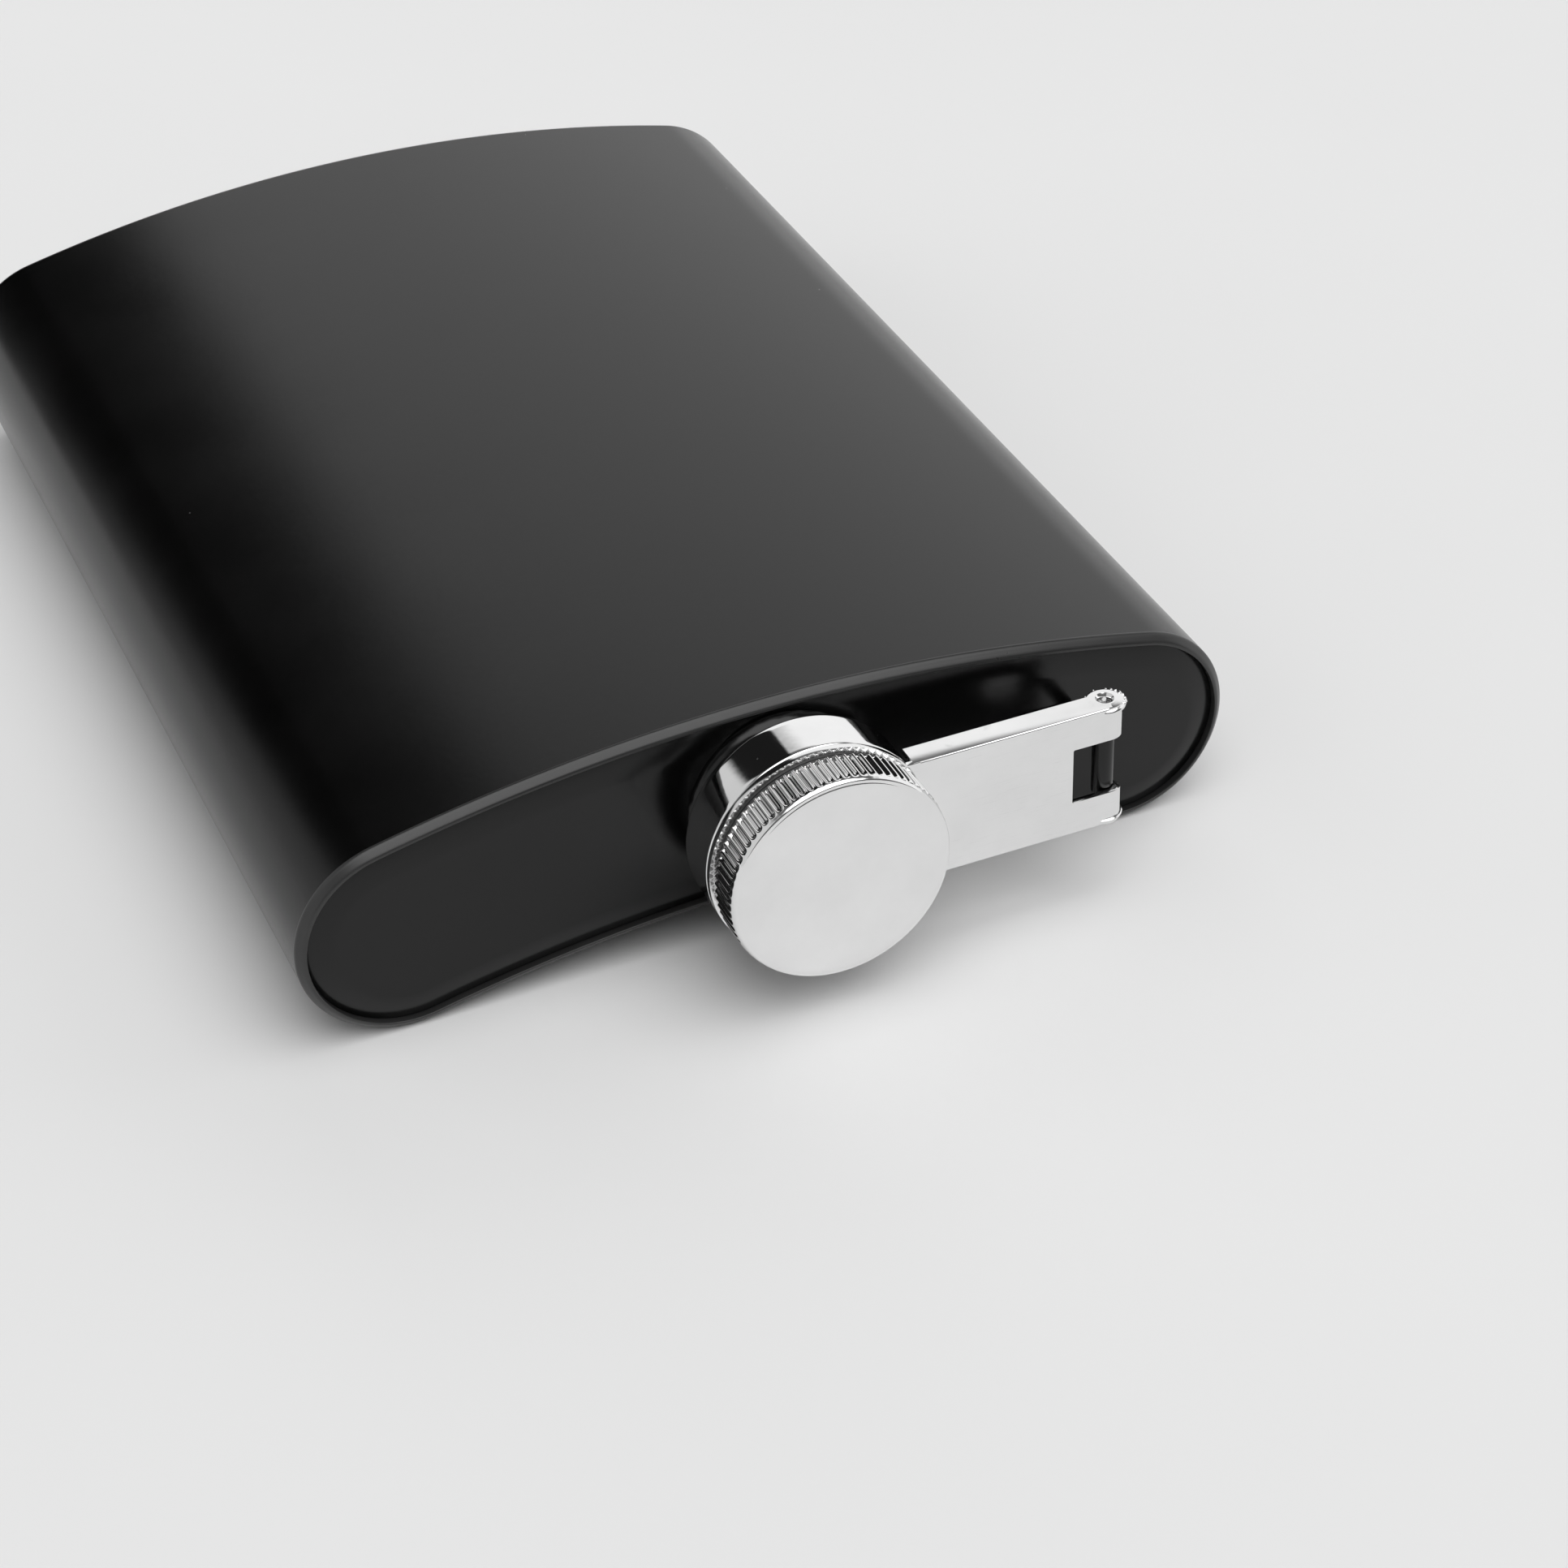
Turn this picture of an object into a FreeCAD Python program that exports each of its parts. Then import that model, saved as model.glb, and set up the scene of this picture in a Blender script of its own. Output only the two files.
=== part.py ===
import FreeCAD, Part
import math
import os

# Hip flask lying on its hollow back, in millimetres.
# X runs across the width with the hinge on +X, Y runs from the cap (-Y) to the base (+Y), Z is up.
# The origin is under the middle of the whole object, on the surface that it lies on.

V = FreeCAD.Vector

# Body: a sheet band of even thickness, bowed to a hip, with fully round narrow sides.
flask_width = 95.0
side_radius = 10.64
front_radius = 171.1
back_radius = 160.9
body_length = 123.2
wall = 0.6

# Flat end plates, set inside a rounded weld that is ground flush with the shell.
rim_round = 0.9
rim_band = 1.0
plate_sheet = 0.7
top_recess = 0.12
base_recess = 0.0
seam_width = 1.6
seam_height = 0.25

# Everything on the top plate is measured outwards from the top rim, as a height.
axis_height = 14.9
neck_bore = 7.2
neck_radius = 8.3
neck_height = 6.8
neck_weld_size = 0.8
thread_pitch = 2.0
neck_thread_crest = 8.85
neck_thread_turns = 2.0
neck_thread_start = 1.9

# Cap: a threaded skirt under the arm and a knurled head over it, riveted through the arm.
cap_radius = 11.05
skirt_bottom = 3.0
skirt_top = 8.85
skirt_edge_round = 1.3
skirt_root = 9.75
skirt_thread_crest = 9.2
skirt_thread_turns = 1.0
skirt_thread_start = 4.75
skirt_ceiling = 7.9
gasket_sheet = 1.0
gasket_hole = 4.6
gasket_radius = 9.05
gasket_gap = 0.08
rivet_radius = 2.0
rivet_head_radius = 4.2
rivet_head_sheet = 0.6
rivet_depth_in_head = 2.6
spigot_radius = 8.6
washer_radius = 10.35
washer_play = 0.05
head_bottom = 10.15
tooth_count = 80
tooth_crest = 10.95
tooth_valley = 10.58
tooth_run_in = 0.4
tooth_end = 12.9
bevel_radius = 10.3
bevel_end = 14.45
cap_height = 14.9
face_flat_radius = 9.9

# Arm: a folded channel with a ring at the cap and two ears at the hinge.
arm_sheet = 0.6
arm_outer = 9.55
arm_half_width = 6.7
arm_fold_round = 0.45
flange_depth = 2.6
flange_start = 9.5
ring_hole = 8.9
notch_start = 25.85
notch_half_width = 3.05
notch_corner = 0.9

# Hinge: an eye curled from sheet on the flask, with the arm's ears and pin turning in it.
pin_x = 29.9
pin_radius = 0.65
pin_recess = 0.12
pin_running_gap = 0.04
eye_radius = 1.05
eye_half_width = 3.8
bracket_sheet = 0.42
web_half_width = 1.0
foot_length = 5.0
ear_radius = 2.0

# Derived places.
whole_length = body_length + cap_height
top_y = cap_height - whole_length / 2.0
base_y = top_y + body_length
arm_inner = arm_outer - arm_sheet
nose_radius = 1.75
pin_height = arm_outer - nose_radius
plate_face = -top_recess
washer_bottom = arm_outer + washer_play

side_x = flask_width / 2.0 - side_radius
side_z = side_radius
front_z = side_z - math.sqrt((front_radius - side_radius) ** 2 - side_x ** 2)
back_z = side_z - math.sqrt((back_radius + side_radius) ** 2 - side_x ** 2)


def at(x, height, z):
    """A point above the top plate: height is measured outwards from the top rim."""
    return V(x, top_y - height, z)


def band_face(inset, y):
    """The body's section at y, with every side moved inwards by inset."""
    tip = flask_width / 2.0 - inset
    front = front_radius - inset
    back = back_radius + inset
    front_turn = math.atan2(side_x, side_z - front_z)
    back_turn = math.atan2(side_x, side_z - back_z)
    front_right = V(front * math.sin(front_turn), y, front_z + front * math.cos(front_turn))
    back_right = V(back * math.sin(back_turn), y, back_z + back * math.cos(back_turn))
    front_left = V(-front_right.x, y, front_right.z)
    back_left = V(-back_right.x, y, back_right.z)
    edges = [
        Part.Arc(front_left, V(0, y, front_z + front), front_right).toShape(),
        Part.Arc(front_right, V(tip, y, side_z), back_right).toShape(),
        Part.Arc(back_right, V(0, y, back_z + back), back_left).toShape(),
        Part.Arc(back_left, V(-tip, y, side_z), front_left).toShape(),
    ]
    return Part.Face(Part.Wire(edges))


def band_solid(inset, y0, y1):
    """A solid slice of the body, from y0 to y1."""
    return band_face(inset, y0).extrude(V(0, y1 - y0, 0))


def lathe(start, steps):
    """A solid turned about the neck's axis from (radius, height) points.

    Each step is a point to draw a line to, or a pair of points: the middle and the end of an arc.
    """
    edges = []
    here = at(start[0], start[1], axis_height)
    for step in steps + [start]:
        if isinstance(step[0], tuple):
            middle, end = [at(r, h, axis_height) for r, h in step]
            edges.append(Part.Arc(here, middle, end).toShape())
        else:
            end = at(step[0], step[1], axis_height)
            edges.append(Part.LineSegment(here, end).toShape())
        here = end
    face = Part.Face(Part.Wire(edges))
    return face.revolve(V(0, 0, axis_height), V(0, 1, 0), 360)


def disc(radius, h0, h1):
    """A plain cylinder on the neck's axis between two heights."""
    return Part.makeCylinder(radius, h1 - h0, at(0, h0, axis_height), V(0, -1, 0))


def pin_rod(radius, half_length):
    """A cylinder on the hinge axis."""
    foot = at(pin_x, pin_height, axis_height - half_length)
    return Part.makeCylinder(radius, 2 * half_length, foot, V(0, 0, 1))


def block(x0, x1, h0, h1, z0, z1):
    """A box above the top plate, with z measured from the neck's axis."""
    corner = at(x0, h1, axis_height + z0)
    return Part.makeBox(x1 - x0, h1 - h0, z1 - z0, corner)


def thread_ridge(root, crest, start, turns):
    """One helical ridge, from just inside the wall at root to its crest."""
    height = thread_pitch * turns
    half_foot = 0.55
    half_tip = 0.2
    bite = 0.1 if crest > root else -0.1
    helix = Part.makeHelix(thread_pitch, height, root)
    profile = Part.makePolygon([
        V(root - bite, 0, -half_foot),
        V(crest, 0, -half_tip),
        V(crest, 0, half_tip),
        V(root - bite, 0, half_foot),
        V(root - bite, 0, -half_foot),
    ])
    ridge = Part.Wire(helix).makePipeShell([profile], True, True)
    ridge.rotate(V(0, 0, 0), V(1, 0, 0), 90)
    ridge.translate(at(0, start, axis_height))
    return ridge


def rim_weld(y, inwards):
    """The rounded weld round one end; inwards is +1 at the top end and -1 at the base."""
    depth = rim_band * inwards
    ring = band_solid(0, y, y + depth)
    outer_edges = [e for e in ring.Edges if abs(e.BoundBox.YMin - y) + abs(e.BoundBox.YMax - y) < 1e-6]
    ring = ring.makeFillet(rim_round, outer_edges)
    return ring.cut(band_solid(rim_band, y - depth, y + 2 * depth))


def end_plate(y, inwards, recess):
    """A flat end plate inside its weld, set back by recess."""
    outer = y + recess * inwards
    return band_solid(rim_band, outer, outer + plate_sheet * inwards)


def body_shell():
    y0 = top_y + rim_band
    y1 = base_y - rim_band
    return band_solid(0, y0, y1).cut(band_solid(wall, y0 - 1, y1 + 1))


def side_seam_weld():
    """The low bead along the inside of the -X side, where the wrapped sheet meets."""
    y0 = top_y + rim_band + plate_sheet
    y1 = base_y - rim_band - plate_sheet
    inner = flask_width / 2.0 - wall
    bead = Part.makeBox(seam_height * 2, y1 - y0, seam_width)
    bead.translate(V(-inner - seam_height, y0, side_z - seam_width / 2.0))
    return bead.common(band_solid(wall, y0, y1))


def top_plate():
    hole = disc(neck_radius, -2 * rim_band, 1)
    return end_plate(top_y, 1, top_recess).cut(hole)


def neck_tube():
    """The threaded neck: a tube through the top plate with a rounded lip."""
    bottom = plate_face - plate_sheet - 0.4
    lip = (neck_radius - neck_bore) / 2.0
    middle = neck_bore + lip
    tube = lathe((neck_bore, bottom), [
        (neck_radius, bottom),
        (neck_radius, neck_height - lip),
        ((middle, neck_height), (neck_bore, neck_height - lip)),
    ])
    ridge = thread_ridge(neck_radius, neck_thread_crest, neck_thread_start, neck_thread_turns)
    return tube.fuse(ridge)


def neck_weld():
    """The fillet of weld round the foot of the neck."""
    s = neck_weld_size
    return lathe((neck_radius, plate_face), [
        (neck_radius + s, plate_face),
        ((neck_radius + 0.35 * s, plate_face + 0.35 * s), (neck_radius, plate_face + s)),
    ])


def hinge_bracket():
    """A narrow strap with a foot on the plate, an upright web and a wide eye curled at its top."""
    outer_x = pin_x + eye_radius
    eye = pin_rod(eye_radius, eye_half_width)
    web = block(outer_x - bracket_sheet, outer_x, plate_face, pin_height, -web_half_width, web_half_width)
    foot = block(outer_x - foot_length, outer_x, plate_face, plate_face + bracket_sheet,
                 -web_half_width, web_half_width)
    bore = pin_rod(pin_radius + pin_running_gap, eye_half_width + 1)
    return eye.fuse(web).fuse(foot).cut(bore)


def hinge_pin():
    return pin_rod(pin_radius, arm_half_width - pin_recess)


def arm_channel():
    """The straight channel: a front plate with both edges folded towards the flask."""
    w = arm_half_width
    r = arm_fold_round
    t = arm_sheet
    k = r * (1 - math.sqrt(0.5))
    low = arm_outer - flange_depth
    x = flange_start

    def p(h, z):
        return at(x, h, axis_height + z)

    edges = [
        Part.LineSegment(p(low, -w), p(arm_outer - r, -w)).toShape(),
        Part.Arc(p(arm_outer - r, -w), p(arm_outer - k, -w + k), p(arm_outer, -w + r)).toShape(),
        Part.LineSegment(p(arm_outer, -w + r), p(arm_outer, w - r)).toShape(),
        Part.Arc(p(arm_outer, w - r), p(arm_outer - k, w - k), p(arm_outer - r, w)).toShape(),
        Part.LineSegment(p(arm_outer - r, w), p(low, w)).toShape(),
        Part.LineSegment(p(low, w), p(low, w - t)).toShape(),
        Part.LineSegment(p(low, w - t), p(arm_inner, w - t)).toShape(),
        Part.LineSegment(p(arm_inner, w - t), p(arm_inner, -w + t)).toShape(),
        Part.LineSegment(p(arm_inner, -w + t), p(low, -w + t)).toShape(),
        Part.LineSegment(p(low, -w + t), p(low, -w)).toShape(),
    ]
    return Part.Face(Part.Wire(edges)).extrude(V(pin_x - flange_start, 0, 0))


def arm_nose():
    """The front plate's end, curled a quarter turn round the hinge axis."""
    half = arm_half_width
    ring = pin_rod(nose_radius, half).cut(pin_rod(nose_radius - arm_sheet, half + 1))
    quarter = block(pin_x, pin_x + 3, pin_height, arm_outer + 1, -half, half)
    return ring.common(quarter)


def arm_ear(side):
    """The round end of one flange, flat at the arm's front, with the pin's hole cut later."""
    z0 = arm_half_width - arm_sheet if side > 0 else -arm_half_width
    foot = at(pin_x, pin_height, axis_height + z0)
    disc_end = Part.makeCylinder(ear_radius, arm_sheet, foot, V(0, 0, 1))
    below = arm_outer - arm_fold_round
    keep = block(pin_x - 3, pin_x + 3, 0, below, -arm_half_width, arm_half_width)
    return disc_end.common(keep)


def notch_cutter():
    """The slot that clears the eye and web, with rounded outer corners on the plate."""
    slot = block(notch_start, pin_x + 4, arm_inner - 4, arm_outer + 1, -notch_half_width, notch_half_width)
    end = pin_x + nose_radius
    for side in (-1, 1):
        edge = side * notch_half_width
        low = min(edge, edge + side * notch_corner)
        square = block(end - notch_corner, end + 1, arm_inner - 4, arm_outer + 1, low, low + notch_corner)
        centre = at(end - notch_corner, arm_outer + 1, axis_height + edge + side * notch_corner)
        corner = Part.makeCylinder(notch_corner, 8, centre, V(0, 1, 0))
        slot = slot.fuse(square.cut(corner))
    return slot


def cap_arm():
    ring = disc(cap_radius, arm_inner, arm_outer)
    bar = block(0, flange_start, arm_inner, arm_outer, -arm_half_width, arm_half_width)
    arm = ring.fuse(bar).fuse(arm_channel()).fuse(arm_nose())
    for side in (-1, 1):
        arm = arm.fuse(arm_ear(side))
    arm = arm.cut(disc(ring_hole, arm_inner - 1, arm_outer + 1))
    arm = arm.cut(notch_cutter())
    return arm.cut(pin_rod(pin_radius, arm_half_width + 1)).removeSplitter()


def cap_skirt():
    """The cap's lower cup, with its outer bottom edge rounded and one inner thread."""
    e = skirt_edge_round
    lip = cap_radius - e
    bend = e * math.sqrt(0.5)
    cup = lathe((0, skirt_top), [
        (0, skirt_ceiling),
        (skirt_root, skirt_ceiling),
        (skirt_root, skirt_bottom),
        ((lip + bend, skirt_bottom + e - bend), (cap_radius, skirt_bottom + e)),
        (cap_radius, skirt_top - 0.25),
        (cap_radius - 0.25, skirt_top),
    ])
    ridge = thread_ridge(skirt_root, skirt_thread_crest, skirt_thread_start, skirt_thread_turns)
    rivet_hole = disc(rivet_radius, skirt_ceiling - 1, skirt_top + 1)
    return cup.fuse(ridge).cut(rivet_hole)


def cap_gasket():
    low = neck_height + gasket_gap
    ring = disc(gasket_radius, low, low + gasket_sheet)
    return ring.cut(disc(gasket_hole, low - 1, low + gasket_sheet + 1))


def cap_rivet():
    shank = disc(rivet_radius, skirt_ceiling, head_bottom + rivet_depth_in_head)
    head = disc(rivet_head_radius, skirt_ceiling - rivet_head_sheet, skirt_ceiling)
    return shank.fuse(head)


def cap_washer():
    """The thin dark washer between the arm's ring and the knurled head."""
    ring = disc(washer_radius, washer_bottom, head_bottom)
    return ring.cut(disc(spigot_radius, washer_bottom - 1, head_bottom + 1))


def knurl_prism():
    """A prism with rounded teeth all round, as high as the head."""
    half = math.pi / tooth_count

    def rim(radius, turn):
        return at(radius * math.cos(turn), head_bottom, axis_height + radius * math.sin(turn))

    edges = []
    for i in range(tooth_count):
        turn = 2 * half * i
        valley = rim(tooth_valley, turn - half)
        crest = rim(tooth_crest, turn)
        next_valley = rim(tooth_valley, turn + half)
        edges.append(Part.Arc(valley, crest, next_valley).toShape())
    return Part.Face(Part.Wire(edges)).extrude(V(0, head_bottom - cap_height, 0))


def cap_head():
    """The knurled head, with bevelled tooth ends and a slightly domed face."""
    dome_mid = face_flat_radius * 0.55
    rise = cap_height - bevel_end
    envelope = lathe((0, head_bottom), [
        (tooth_valley, head_bottom),
        (tooth_crest, head_bottom + tooth_run_in),
        (tooth_crest, tooth_end),
        (bevel_radius, bevel_end),
        ((dome_mid, cap_height - 0.28 * rise), (0, cap_height)),
    ])
    top = knurl_prism().common(envelope)
    spigot = disc(spigot_radius, skirt_top, head_bottom)
    rivet_hole = disc(rivet_radius, skirt_top - 1, head_bottom + rivet_depth_in_head)
    return top.fuse(spigot).cut(rivet_hole).removeSplitter()


nodes = {
    "body_shell": body_shell(),
    "side_seam_weld": side_seam_weld(),
    "top_plate": top_plate(),
    "top_rim_weld": rim_weld(top_y, 1),
    "base_plate": end_plate(base_y, -1, base_recess),
    "base_rim_weld": rim_weld(base_y, -1),
    "neck_tube": neck_tube(),
    "neck_weld": neck_weld(),
    "hinge_bracket": hinge_bracket(),
    "hinge_pin": hinge_pin(),
    "cap_arm": cap_arm(),
    "cap_skirt": cap_skirt(),
    "cap_gasket": cap_gasket(),
    "cap_rivet": cap_rivet(),
    "cap_washer": cap_washer(),
    "cap_head": cap_head(),
}

os.makedirs("parts", exist_ok=True)
for name, shape in nodes.items():
    shape.exportStep("parts/%s.step" % name)
    print("%-20s valid=%s solids=%d volume=%.2f" % (name, shape.isValid(), len(shape.Solids), shape.Volume))
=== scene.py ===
"""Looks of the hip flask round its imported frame. Lengths are in millimetres until a mesh is made."""

import math

import bmesh
import bpy
from mathutils import Matrix, Vector, noise


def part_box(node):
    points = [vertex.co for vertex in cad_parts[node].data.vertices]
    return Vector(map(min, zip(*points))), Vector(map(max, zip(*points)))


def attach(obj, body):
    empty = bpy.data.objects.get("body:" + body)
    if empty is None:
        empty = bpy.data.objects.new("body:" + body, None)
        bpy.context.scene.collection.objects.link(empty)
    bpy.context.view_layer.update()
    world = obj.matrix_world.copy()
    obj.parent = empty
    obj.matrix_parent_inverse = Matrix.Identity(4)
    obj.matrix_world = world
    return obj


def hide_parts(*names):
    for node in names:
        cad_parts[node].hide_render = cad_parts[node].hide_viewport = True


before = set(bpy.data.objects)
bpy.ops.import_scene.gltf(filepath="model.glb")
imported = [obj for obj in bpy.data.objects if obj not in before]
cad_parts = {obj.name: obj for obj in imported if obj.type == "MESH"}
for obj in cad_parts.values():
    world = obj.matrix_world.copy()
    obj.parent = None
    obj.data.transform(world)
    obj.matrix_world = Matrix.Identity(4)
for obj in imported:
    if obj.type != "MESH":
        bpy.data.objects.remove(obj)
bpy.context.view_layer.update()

MM = 0.001

# ---------------------------------------------------------------- the flask's driving sizes
WIDTH = 95.0
SIDE_R = 10.64
FRONT_R = 171.1
BACK_R = 160.9
WALL = 0.6
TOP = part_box("top_rim_weld")[0].y / MM
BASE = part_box("base_rim_weld")[1].y / MM
RIM_ROUND = 0.9
RIM_BAND = 1.0
PLATE = 0.7
RECESS = 0.12
AXIS_Z = (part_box("cap_head")[0].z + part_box("cap_head")[1].z) / 2 / MM
PIN_X = (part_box("hinge_pin")[0].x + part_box("hinge_pin")[1].x) / 2 / MM
PIN_H = TOP - (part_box("hinge_pin")[0].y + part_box("hinge_pin")[1].y) / 2 / MM

NECK_R = 8.3
THREAD_PITCH = 2.0
THREAD_HALF = 0.52
THREAD_FLANK = 0.34
EYE_R = 1.05
ARM_OUTER = 9.55
ARM_SHEET = 0.6
ARM_HALF = 6.7
CAP_R = 11.05
CUP_CEILING = 7.9
SPIGOT_R = 8.6
HEAD_LOW = 10.15
RIVET_R = 2.0
RIVET_TOP = 12.75

SIDE_X = WIDTH / 2 - SIDE_R
FRONT_Z = SIDE_R - math.sqrt((FRONT_R - SIDE_R) ** 2 - SIDE_X ** 2)
BACK_Z = SIDE_R - math.sqrt((BACK_R + SIDE_R) ** 2 - SIDE_X ** 2)
FRONT_TURN = math.atan2(SIDE_X, SIDE_R - FRONT_Z)
BACK_TURN = math.atan2(SIDE_X, SIDE_R - BACK_Z)


# ---------------------------------------------------------------- mesh helpers
def spread(a, b, n):
    """n + 1 values from a to b."""
    return [a + (b - a) * i / n for i in range(n + 1)]


def smooth(t):
    t = max(0.0, min(1.0, t))
    return t * t * (3 - 2 * t)


def outline(inset):
    """Points (x, z) round the body's section, with every side moved inwards by inset."""
    points = []
    side = SIDE_R - inset
    for t in spread(-FRONT_TURN, FRONT_TURN, 96)[:-1]:
        r = FRONT_R - inset
        points.append((r * math.sin(t), FRONT_Z + r * math.cos(t)))
    for t in spread(FRONT_TURN, math.pi + BACK_TURN, 72)[:-1]:
        points.append((SIDE_X + side * math.sin(t), SIDE_R + side * math.cos(t)))
    for t in spread(BACK_TURN, -BACK_TURN, 96)[:-1]:
        r = BACK_R + inset
        points.append((r * math.sin(t), BACK_Z + r * math.cos(t)))
    for t in spread(math.pi - BACK_TURN, 2 * math.pi - FRONT_TURN, 72)[:-1]:
        points.append((-SIDE_X + side * math.sin(t), SIDE_R + side * math.cos(t)))
    return points


def bridge(bm, rings, loop=False):
    """Faces between rings of the same number of vertices."""
    pairs = list(zip(rings, rings[1:]))
    if loop:
        pairs.append((rings[-1], rings[0]))
    for a, b in pairs:
        n = max(len(a), len(b))
        for i in range(n):
            j = (i + 1) % n
            if len(a) == 1:
                bm.faces.new((a[0], b[j], b[i]))
            elif len(b) == 1:
                bm.faces.new((a[i], a[j], b[0]))
            else:
                bm.faces.new((a[i], a[j], b[j], b[i]))


def ring_of(bm, points):
    return [bm.verts.new(Vector(p) * MM) for p in points]


def at(r, h, turn):
    """A point round the neck's axis: radius, height over the top rim, and angle from +X towards +Z."""
    return (r * math.cos(turn), TOP - h, AXIS_Z + r * math.sin(turn))


def lathe_rings(bm, profile, count, wobble=None):
    rings = []
    for k, (r, h) in enumerate(profile):
        if r < 1e-6:
            rings.append(ring_of(bm, [at(0, h, 0)]))
            continue
        points = []
        for i in range(count):
            turn = 2 * math.pi * i / count
            rr, hh = (r, h) if wobble is None else wobble(k, r, h, turn)
            points.append(at(rr, hh, turn))
        rings.append(ring_of(bm, points))
    return rings


def thread(h, turn, start, turns, fade):
    """How far a thread stands up at a height and an angle, from 0 to 1."""
    best = 0.0
    for lap in range(-1, 4):
        along = turn / (2 * math.pi) + lap
        if 0 <= along <= turns:
            shape = smooth((THREAD_HALF - abs(h - start - THREAD_PITCH * along)) / THREAD_FLANK)
            best = max(best, shape * smooth(min(along, turns - along) / fade))
    return best


def arc(cx, cy, r, a0, a1, n):
    """Points on an arc, with angles in degrees."""
    out = []
    for a in spread(math.radians(a0), math.radians(a1), n):
        out.append((cx + r * math.cos(a), cy + r * math.sin(a)))
    return out


def piece(name, bm, material, body, slot, *nodes, sharp=38.0):
    """Makes a piece from bm, in place, hides the frame's parts it stands for and hangs it on its body."""
    bmesh.ops.remove_doubles(bm, verts=bm.verts, dist=2e-7)
    bmesh.ops.recalc_face_normals(bm, faces=bm.faces)
    mesh = bpy.data.meshes.new(name)
    bm.to_mesh(mesh)
    bm.free()
    mesh.shade_smooth()
    mesh.set_sharp_from_angle(angle=math.radians(sharp))
    obj = bpy.data.objects.new(name, mesh)
    bpy.context.scene.collection.objects.link(obj)
    mesh.materials.append(material)
    if nodes:
        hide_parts(*nodes)
    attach(obj, body)
    return obj


# ---------------------------------------------------------------- material helpers
class Nodes:
    """A material's node tree, with texture coordinates in millimetres of the row frame."""

    def __init__(self, name):
        self.material = bpy.data.materials.new(name)
        self.material.use_nodes = True
        self.tree = self.material.node_tree
        self.tree.nodes.clear()
        self.out = self.add("ShaderNodeOutputMaterial")
        self.shader = self.add("ShaderNodeBsdfPrincipled")
        self.link(self.shader.outputs[0], self.out.inputs[0])
        place = self.add("ShaderNodeTexCoord")
        scale = self.add("ShaderNodeMapping")
        scale.inputs["Scale"].default_value = (1 / MM, 1 / MM, 1 / MM)
        self.link(place.outputs["Object"], scale.inputs["Vector"])
        self.mm = scale.outputs["Vector"]

    def add(self, kind, **settings):
        node = self.tree.nodes.new(kind)
        for key, value in settings.items():
            setattr(node, key, value)
        return node

    def link(self, a, b):
        self.tree.links.new(a, b)

    def stretched(self, x, y, z):
        node = self.add("ShaderNodeMapping")
        node.inputs["Scale"].default_value = (x, y, z)
        self.link(self.mm, node.inputs["Vector"])
        return node.outputs["Vector"]

    def noise(self, scale, detail=2.0, vector=None, rough=0.5):
        node = self.add("ShaderNodeTexNoise")
        node.inputs["Scale"].default_value = scale
        node.inputs["Detail"].default_value = detail
        node.inputs["Roughness"].default_value = rough
        self.link(vector or self.mm, node.inputs["Vector"])
        return node.outputs["Fac"]

    def range(self, value, a, b, lo, hi, kind="LINEAR"):
        node = self.add("ShaderNodeMapRange", interpolation_type=kind)
        for key, v in zip(("From Min", "From Max", "To Min", "To Max"), (a, b, lo, hi)):
            node.inputs[key].default_value = v
        self.link(value, node.inputs["Value"])
        return node.outputs["Result"]

    def math(self, kind, a, b):
        node = self.add("ShaderNodeMath", operation=kind)
        for socket, v in zip(node.inputs, (a, b)):
            if isinstance(v, (int, float)):
                socket.default_value = v
            else:
                self.link(v, socket)
        return node.outputs[0]

    def mix(self, factor, a, b):
        """A colour between two greys or colours."""
        node = self.add("ShaderNodeMix", data_type="RGBA")
        self.link(factor, node.inputs["Factor"])
        for socket, v in ((node.inputs[6], a), (node.inputs[7], b)):
            if isinstance(v, (int, float)):
                socket.default_value = (v, v, v, 1)
            elif isinstance(v, tuple):
                socket.default_value = (*v, 1)
            else:
                self.link(v, socket)
        return node.outputs[2]

    def specks(self, per_mm, radius, share):
        """A mask of small round spots: cells per millimetre, spot size in cells, share of cells."""
        node = self.add("ShaderNodeTexVoronoi", feature="F1")
        node.inputs["Scale"].default_value = per_mm
        self.link(self.mm, node.inputs["Vector"])
        split = self.add("ShaderNodeSeparateColor")
        self.link(node.outputs["Color"], split.inputs[0])
        chosen = self.range(split.outputs[0], 1 - share, 1 - share + 0.01, 0, 1)
        size = self.range(split.outputs[1], 0, 1, radius * 0.35, radius)
        near = self.math("DIVIDE", node.outputs["Distance"], size)
        spot = self.range(near, 0.5, 1.0, 1, 0, "SMOOTHSTEP")
        return self.math("MULTIPLY", spot, chosen)

    def bump(self, height, strength, distance_mm, below=None):
        node = self.add("ShaderNodeBump")
        node.inputs["Strength"].default_value = strength
        node.inputs["Distance"].default_value = distance_mm * MM
        self.link(height, node.inputs["Height"])
        if below is not None:
            self.link(below, node.inputs["Normal"])
        return node.outputs["Normal"]

    def finish(self, **sockets):
        for key, value in sockets.items():
            socket = self.shader.inputs[key.replace("_", " ")]
            if isinstance(value, bpy.types.NodeSocket):
                self.link(value, socket)
            elif isinstance(value, tuple):
                socket.default_value = (*value, 1)
            else:
                socket.default_value = value
        return self.material


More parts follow.
